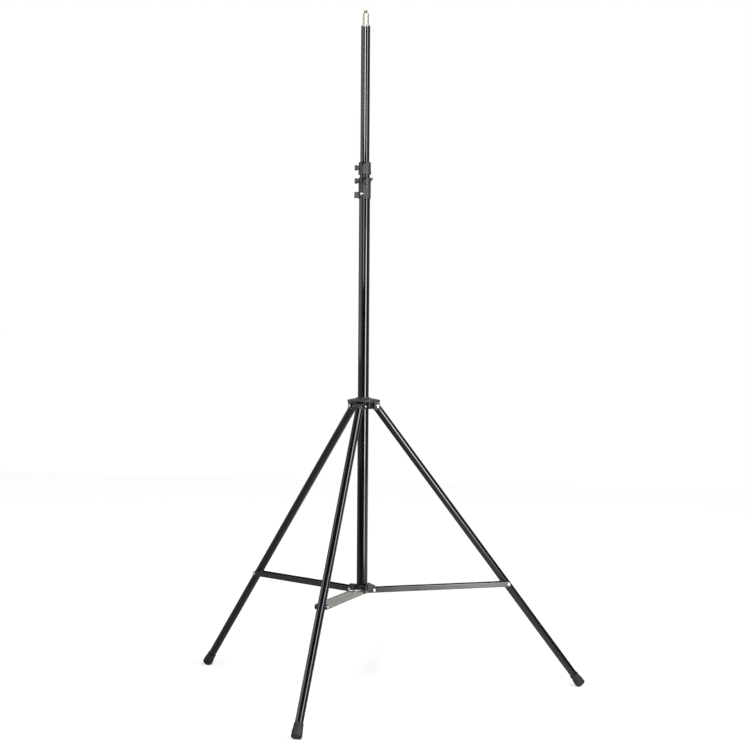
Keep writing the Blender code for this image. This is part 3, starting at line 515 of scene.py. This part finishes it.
def even_shading(mesh):
    """Corner normals for a moulding: the mean of the faces round the corner's point that turn
    less than 50 degrees from its own face, weighted by area. A face that lies round the
    column counts with the direction away from the column's axis, not with its own."""
    polygons, loops = mesh.polygons, mesh.loops
    normal, middle = np.zeros(len(polygons) * 3), np.zeros(len(polygons) * 3)
    area, corners = np.zeros(len(polygons)), np.zeros(len(polygons), int)
    point, spots = np.zeros(len(loops), int), np.zeros(len(mesh.vertices) * 3)
    polygons.foreach_get("normal", normal)
    polygons.foreach_get("center", middle)
    polygons.foreach_get("area", area)
    polygons.foreach_get("loop_total", corners)
    loops.foreach_get("vertex_index", point)
    mesh.vertices.foreach_get("co", spots)
    normal, middle, spots = normal.reshape(-1, 3), middle.reshape(-1, 3), spots.reshape(-1, 3)
    face = np.repeat(np.arange(len(polygons)), corners)
    flat = np.array([1, 1, 0])
    out_middle = (middle - (column_x, column_y, 0)) * flat
    out_point = (spots[point] - (column_x, column_y, 0)) * flat
    out_middle = out_middle / np.linalg.norm(out_middle, axis=1, keepdims=True)
    out_point = out_point / np.linalg.norm(out_point, axis=1, keepdims=True)
    outward = (normal * out_middle).sum(1)
    wall = np.abs(outward) > math.cos(math.radians(6))
    round_column = out_point * np.sign(outward)[face][:, None]
    direction = np.where(wall[face][:, None], round_column, normal[face])
    order = np.argsort(point, kind="stable")
    first = np.searchsorted(point[order], np.arange(len(spots)))
    rank = np.arange(len(point)) - first[point[order]]
    table = np.full((len(spots), rank.max() + 1), -1)
    table[point[order], rank] = order
    around = table[point]
    turn = (normal[face[around]] * normal[face][:, None]).sum(2)
    weight = area[face[around]] * (turn > math.cos(math.radians(50))) * (around >= 0)
    summed = (direction[around] * weight[..., None]).sum(1)
    mesh.normals_split_custom_set(summed / np.linalg.norm(summed, axis=1, keepdims=True))


def moulded_copy(node, body, material, edge):
    """A copy of a CAD node's mesh: merged, with flat faces joined, its edges rounded over a
    width, and its shading evened."""
    bm = bmesh.new()
    bm.from_mesh(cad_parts[node].data)
    bmesh.ops.remove_doubles(bm, verts=bm.verts, dist=2e-6)
    bmesh.ops.dissolve_limit(bm, angle_limit=math.radians(1.5), verts=bm.verts, edges=bm.edges)
    sharp = [corner for corner in bm.edges if corner.calc_face_angle(0) > math.radians(35)]
    bmesh.ops.bevel(
        bm, geom=sharp, offset=edge, segments=2, profile=0.5, affect="EDGES", clamp_overlap=True
    )
    bmesh.ops.remove_doubles(bm, verts=bm.verts, dist=2e-6)
    mesh = bpy.data.meshes.new(f"{node}_moulding")
    bm.to_mesh(mesh)
    bm.free()
    mesh.shade_smooth()
    even_shading(mesh)
    mesh.materials.append(material)
    piece = bpy.data.objects.new(f"{node}_moulding", mesh)
    bpy.context.scene.collection.objects.link(piece)
    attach(piece, body)
    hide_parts(node)


moulded_copy("leg_collar", "leg_collar", collar_nylon, 0.0006)
moulded_copy("base_collar", "column", collar_nylon, 0.0005)
moulded_copy("lower_clamp", "column", clamp_nylon, 0.0003)
moulded_copy("upper_clamp", "middle_section", clamp_nylon, 0.0004)
for side in LEGS:
    moulded_copy(f"{side}_leg_head", f"{side}_leg", collar_nylon, 0.0006)

# Fixing screw of the lower clamp. A pan-head screw with a cross recess, nickel plated, driven
# through the clamp's wall into the lower tube so that the clamp can't turn or slide.


def facing_out(node):
    """A frame on the column's axis at a screw's level, its third axis along the screw."""
    middle = centre_of(node)
    out = np.array([middle[0] - column_x, middle[1] - column_y, 0])
    out = out / np.linalg.norm(out)
    return place((column_x, column_y, middle[2]), (0, 0, -1), (-out[1], out[0], 0))


def screw_skin(seat, where, edge=0.0004, sides=64, rows=26):
    """A domed head over a shaft: the dome's height is a quarter ellipse of the radius, less a
    cross of even depth, whose four arms end at half of the radius."""
    radius = HEAD_RADIUS * np.linspace(1, 0, rows)[:, None] ** 0.8
    angle = np.arange(sides)[None] * 2 * math.pi / sides
    across, beside = radius * np.cos(angle), radius * np.sin(angle)
    narrow = np.minimum(np.abs(across), np.abs(beside))
    arms = np.clip((0.00055 - narrow) / 0.00015, 0, 1) * np.clip((0.0023 - radius) / 0.0003, 0, 1)
    dome = 0.0012 * np.sqrt(1 - (radius / (HEAD_RADIUS + 0.00001)) ** 2)
    dome = seat + edge + dome - 0.0009 * arms
    head = np.stack([across, beside, dome], -1)
    shaft = [(0, 0.0153), (0.002, 0.0153), (0.002, seat)]
    below = [*shaft, (HEAD_RADIUS, seat), (HEAD_RADIUS, seat + edge)]
    below = turned(rounded(below, 0.0001, 2, False)[:-1], sides, (np.zeros(3), np.eye(3)))
    return where[0] + np.concatenate([below, head]) @ where[1]


LOWER_SEAT = 0.0169
SEAT_GAP = 0.0003
fixing_node = "lower_fixing_screw"
fixing_screw = screw_skin(LOWER_SEAT + SEAT_GAP, facing_out(fixing_node))
add_piece(
    f"{fixing_node}_head", fixing_screw, rivet_nickel, "column", [fixing_node], False
)

# Thumb screws. Fluted nylon knobs, each moulded on a zinc-plated screw that presses a bush
# against the tube; two lock the clamps and a longer one locks the leg collar.

knob_nylon = moulded_nylon("knob_nylon", 0.014, 0.00003, 0.34, 0.48)
KNOB_RADIUS = 0.0074
KNOB_EDGE = 0.0018
BOSS_RISE = 0.0024
UPPER_SEAT = 0.0168
COLLAR_SEAT = 0.0455


def knob_skin(start, length, where, sides=120, rows=40):
    """A fluted knob: at each height the radius is the body's, less a power of a cosine wave
    with six lobes. The body narrows by a quarter ellipse at the outer end, and by a smaller
    one at the inner end. The outer face is slightly dished."""
    share = np.linspace(0, 1, rows)[:, None]
    height = start + length * (1 - (1 - share) ** 1.5)
    rounding = np.clip((height - start - length + KNOB_EDGE) / KNOB_EDGE, 0, 1)
    body = KNOB_RADIUS * (0.62 + 0.38 * np.sqrt(1 - rounding**2))
    skirt = np.clip((height - start) / 0.0012, 0, 1)
    body = body * (0.90 + 0.10 * np.sqrt(1 - (1 - skirt) ** 2))
    angle = np.arange(sides)[None] * 2 * math.pi / sides
    flutes = 0.0011 * ((1 - np.cos(6 * angle)) / 2) ** 1.6 * np.minimum(1, body / 0.0072)
    radius = body - flutes
    wall = np.stack([radius * np.cos(angle), radius * np.sin(angle), height + 0 * angle], -1)
    top_ring = wall[-1:]
    middle = np.array([0, 0, start + length])
    dish = np.concatenate([middle + (top_ring - middle) * k for k in (0.86, 0.5, 0.0)])
    dish[..., 2] -= np.array([0.0, 0.0003, 0.0003])[:, None]
    back_pole = np.array([0, 0, start]) + 0 * wall[:1]
    local = np.concatenate([back_pole, wall, dish])
    return where[0] + local @ where[1]


for body, start, length in (
    ("lower_clamp_knob", LOWER_SEAT + BOSS_RISE + SEAT_GAP, 0.0079),
    ("upper_clamp_knob", UPPER_SEAT + BOSS_RISE + SEAT_GAP, 0.0079),
    ("leg_collar_knob", COLLAR_SEAT + SEAT_GAP, 0.0100),
):
    grip = knob_skin(start, length, facing_out(body.replace("knob", "screw")))
    add_piece(f"{body}_grip", grip, knob_nylon, body, [body], False)

# Bushes. Rings of unfilled nylon between the tubes: the clamps' two stand out above the clamp
# and have a slit at the viewer's right, so that the thumb screw can close them on the tube.

# The bushes are coloured near black, darker than the clamps, as painted shade in the clamps' slot and
# windows where the bushes show.
shade_darkened_bush_nylon = moulded_nylon("shade_darkened_bush_nylon", 0.003, 0.00001, 0.45, 0.6, 0.12)
CLAMP_FILM = 0.0003
COLLAR_FILM = 0.00035
SLIT_WIDTH = 0.002
VIEWER_TURN = math.radians(14.15)
for node, bore, slit in (
    ("lower_clamp_bush", MIDDLE_RADIUS + CLAMP_FILM, SLIT_WIDTH),
    ("upper_clamp_bush", TOP_RADIUS + CLAMP_FILM, SLIT_WIDTH),
    ("leg_collar_bush", LOWER_RADIUS + COLLAR_FILM, 0.0),
):
    bush_low, bush_high = along_z(node)
    outside = (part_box(node)[1][1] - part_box(node)[0][1]) / 2
    ring_outline = [(outside, bush_low), (outside, bush_high), (bore, bush_high), (bore, bush_low)]
    ring_outline = steadied(rounded(ring_outline, [0.0002, 0.00035, 0.00025, 0.0002], 3), 0.0003)
    gap_angle = 2 * math.asin(slit / 2 / outside)
    ring_skin = turned(ring_outline, 96, UPRIGHT, VIEWER_TURN + gap_angle / 2, 2 * math.pi - gap_angle)
    body = "leg_collar" if slit == 0 else node
    add_piece(f"{node}_ring", ring_skin, shade_darkened_bush_nylon, body, [node], True, slit == 0)

# The remaining CAD pieces are right as they are: plugs, pins, spacers and the screws' shafts.

zinc = turned_metal("zinc_plate", (0.55, 0.55, 0.53), 0.34, (700, 700, 1))
for name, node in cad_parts.items():
    if node.hide_render:
        continue
    metal = name.endswith(("_screw", "_brace_pin"))
    node.material_slots[0].material = zinc if metal else knob_nylon

# Studio. A white sweep under and behind the stand, tall soft lamps at the viewer's right and
# left front, one overhead, and the dark side of the room that the black tubes mirror.

LAMP_DISTANCE = 2.4
TO_VIEWER = np.array([math.sin(VIEWER_TURN), -math.cos(VIEWER_TURN), 0])
TO_RIGHT = np.array([math.cos(VIEWER_TURN), math.sin(VIEWER_TURN), 0])


def either_ray(nodes, links, kinds):
    """The value 1 for rays of one of these kinds, and 0 for the rest."""
    paths = nodes.new("ShaderNodeLightPath").outputs
    either = nodes.new("ShaderNodeMath")
    either.operation = "MAXIMUM"
    for socket, kind in zip(either.inputs, kinds):
        links.new(paths[kind], socket)
    return either.outputs["Value"]


def mixed(nodes, links, share, first, second):
    """A shader that goes from the first to the second by a share."""
    node = nodes.new("ShaderNodeMixShader")
    links.new(share, node.inputs["Fac"])
    links.new(first, node.inputs[1])
    links.new(second, node.inputs[2])
    return node.outputs["Shader"]


def sweep_material():
    """White paper: to the camera and through glass it glows more with the distance from the
    stand, and the lamps add the rest, so that the stand's shadow shows. Gloss paint and metal
    mirror it as a floor that is bright at the viewer's right and dark far in front."""
    material, nodes, links, shader = finish_nodes("white_sweep", (0.8, 0.8, 0.8), 0.9)
    paper = pattern(nodes, links, 4, 2)
    whites = [(0, (0.80, 0.80, 0.80)), (1, (0.83, 0.83, 0.83))]
    tint(nodes, links, paper, shader.inputs["Base Color"], whites)
    shader.inputs["Specular IOR Level"].default_value = 0.0
    spot = nodes.new("ShaderNodeTexCoord")
    glows = [nodes.new("ShaderNodeEmission"), nodes.new("ShaderNodeEmission")]
    away = nodes.new("ShaderNodeVectorMath")
    away.operation = "LENGTH"
    links.new(spot.outputs["Object"], away.inputs[0])
    spread(nodes, links, away.outputs["Value"], glows[0].inputs["Strength"], 0.12, 0.74, 0.3, 3.5)
    product = nodes.new("ShaderNodeMath")
    product.operation = "MULTIPLY"
    fades = ((TO_RIGHT, 0.42, 1.1, -0.5, 0.6), (TO_VIEWER, 1.0, 0.03, 1.0, 3.0))
    for share, (heading, first, last, start, end) in zip(product.inputs, fades):
        way = nodes.new("ShaderNodeVectorMath")
        way.operation = "DOT_PRODUCT"
        way.inputs[1].default_value = tuple(heading)
        links.new(spot.outputs["Object"], way.inputs[0])
        spread(nodes, links, way.outputs["Value"], share, first, last, start, end)
    links.new(product.outputs["Value"], glows[1].inputs["Strength"])
    glows[1].inputs["Color"].default_value = (1, 0.97, 0.9, 1)
    both = nodes.new("ShaderNodeAddShader")
    links.new(glows[0].outputs["Emission"], both.inputs[0])
    links.new(shader.outputs["BSDF"], both.inputs[1])
    mirrored = nodes.new("ShaderNodeLightPath").outputs["Is Glossy Ray"]
    seen = either_ray(nodes, links, ("Is Camera Ray", "Is Transmission Ray"))
    unseen = mixed(nodes, links, mirrored, shader.outputs["BSDF"], glows[1].outputs["Emission"])
    whole = mixed(nodes, links, seen, unseen, both.outputs["Shader"])
    links.new(whole, nodes["Material Output"].inputs["Surface"])
    return material


floor_mesh = bpy.data.meshes.new("floor")
floor_corners = np.array([(-8, -8, 0), (8, -8, 0), (8, 8, 0), (-8, 8, 0)], float)
floor_mesh.from_pydata(floor_corners, [], [(0, 1, 2, 3)])
floor_mesh.materials.append(sweep_material())
floor = bpy.data.objects.new("floor", floor_mesh)
bpy.context.scene.collection.objects.link(floor)

world = bpy.data.worlds.new("studio")
world.use_nodes = True
bpy.context.scene.world = world
nodes, links = world.node_tree.nodes, world.node_tree.links
surround = nodes["Background"]
toward = nodes.new("ShaderNodeTexCoord")
facing = nodes.new("ShaderNodeVectorMath")
facing.operation = "DOT_PRODUCT"
facing.inputs[1].default_value = tuple(TO_VIEWER * 0.68 + TO_RIGHT * 0.45 + np.array([0, 0, 0.57]))
links.new(toward.outputs["Generated"], facing.inputs[0])
# The ramp runs from 0 straight away from the dark corner of the room to 1 straight at it.
levels = ((0.1, 0.5), (0.3, 0.45), (0.5, 0.6), (0.64, 0.4), (0.8, 0.035))
stops = [(position, (level, level, level)) for position, level in levels]
tint(nodes, links, facing.outputs["Value"], surround.inputs["Color"], stops)
spread(nodes, links, facing.outputs["Value"], nodes["Color Ramp"].inputs["Fac"], 0, 1, -1, 1)
surround.inputs["Strength"].default_value = 1.0
white = nodes.new("ShaderNodeBackground")
white.inputs["Color"].default_value = (1, 1, 1, 1)
white.inputs["Strength"].default_value = 1.0
seen = either_ray(nodes, links, ("Is Camera Ray", "Is Transmission Ray"))
whole = mixed(nodes, links, seen, surround.outputs["Background"], white.outputs["Background"])
links.new(whole, nodes["World Output"].inputs["Surface"])


def soft_lamp(name, azimuth, low, high, width, radiance, lean=0.0, tone=(1, 1, 1)):
    """A lamp of some brightness and tone that faces the column, at an angle in degrees to
    the viewer's right of the camera, between two levels, and leans to one side."""
    turn = math.radians(azimuth)
    back = math.cos(turn) * TO_VIEWER + math.sin(turn) * TO_RIGHT
    data = bpy.data.lights.new(name, "AREA")
    data.shape = "RECTANGLE"
    data.size, data.size_y = width, high - low
    data.color = tone
    data.energy = radiance * math.pi * width * (high - low)
    lamp = bpy.data.objects.new(name, data)
    bpy.context.scene.collection.objects.link(lamp)
    axes = Matrix(np.array([np.cross((0, 0, 1), back), (0, 0, 1), back]).T.tolist()).to_4x4()
    spot = np.array([column_x, column_y, (low + high) / 2]) + back * LAMP_DISTANCE
    middle = Matrix.Translation(spot)
    lamp.matrix_world = middle @ axes @ Matrix.Rotation(math.radians(lean), 4, "Z")
    lamp.visible_camera = False


soft_lamp("right_lamp", 45, 0.05, 3.0, 0.56, 12.5, -11)
soft_lamp("right_core_lamp", 41.5, 0.45, 1.4, 0.42, 12.0, -11)
soft_lamp("right_wing_lamp", 58, 0.05, 3.0, 0.50, 2.2, -11)
soft_lamp("left_high_lamp", -5, 1.72, 3.1, 0.36, 42.0, -5)
soft_lamp("left_fill_lamp", -33, 1.8, 3.1, 1.5, 1.6, 0.0, (0.92, 0.99, 1.05))
soft_lamp("left_low_lamp", -12, 1.2, 1.72, 0.75, 5.5, 0.0, (0.90, 0.99, 1.07))
soft_lamp("left_wing_lamp", -80, 0.9, 3.0, 2.6, 1.6, 0.0, (0.96, 1.0, 1.01))
overhead = bpy.data.lights.new("overhead_lamp", "AREA")
overhead.shape = "RECTANGLE"
overhead.size, overhead.size_y = 2.8, 0.6
overhead.energy = 50
overhead.color = (0.95, 0.99, 1.03)
overhead_lamp = bpy.data.objects.new("overhead_lamp", overhead)
bpy.context.scene.collection.objects.link(overhead_lamp)
overhead_spot = TO_RIGHT * 2.15 + TO_VIEWER * 0.85
overhead_lamp.matrix_world = (
    Matrix.Translation((column_x + overhead_spot[0], column_y + overhead_spot[1], 3.3))
    @ Matrix.Rotation(VIEWER_TURN, 4, "Z")
    @ Matrix.Rotation(math.radians(25), 4, "Y")
)
overhead_lamp.visible_camera = False

# Camera. Its place, focal length and shift come from a fit to the feet, the pivots and the
# tubes' joints. The focal length is in pixels of a picture that is 750 pixels wide.

FOCAL_PIXELS, PICTURE_PIXELS, SENSOR = 1921.39, 750, 36
CAMERA_DISTANCE, CAMERA_LEVEL = 5.2644, 0.9637
camera_data = bpy.data.cameras.new("camera")
camera_data.sensor_width = SENSOR
camera_data.lens = FOCAL_PIXELS / PICTURE_PIXELS * SENSOR
camera_data.shift_x = 0.15744
camera_data.shift_y = -0.01296
camera = bpy.data.objects.new("camera", camera_data)
bpy.context.scene.collection.objects.link(camera)
PITCH, YAW, ROLL = 0.0121, -0.0554, 0.006
look = np.array([math.sin(YAW) * math.cos(PITCH), math.cos(YAW) * math.cos(PITCH), -math.sin(PITCH)])
level_right = np.cross(look, (0, 0, 1))
level_right = level_right / np.linalg.norm(level_right)
level_up = np.cross(level_right, look)
right = level_right * math.cos(ROLL) + level_up * math.sin(ROLL)
up = -level_right * math.sin(ROLL) + level_up * math.cos(ROLL)
camera.matrix_world = (
    Matrix.Translation((column_x, column_y, 0))
    @ Matrix.Rotation(VIEWER_TURN, 4, "Z")
    @ Matrix.Translation((0, -CAMERA_DISTANCE, CAMERA_LEVEL))
    @ Matrix(np.array([right, up, -look]).T.tolist()).to_4x4()
)
bpy.context.scene.camera = camera
bpy.context.scene.view_settings.view_transform = "Standard"
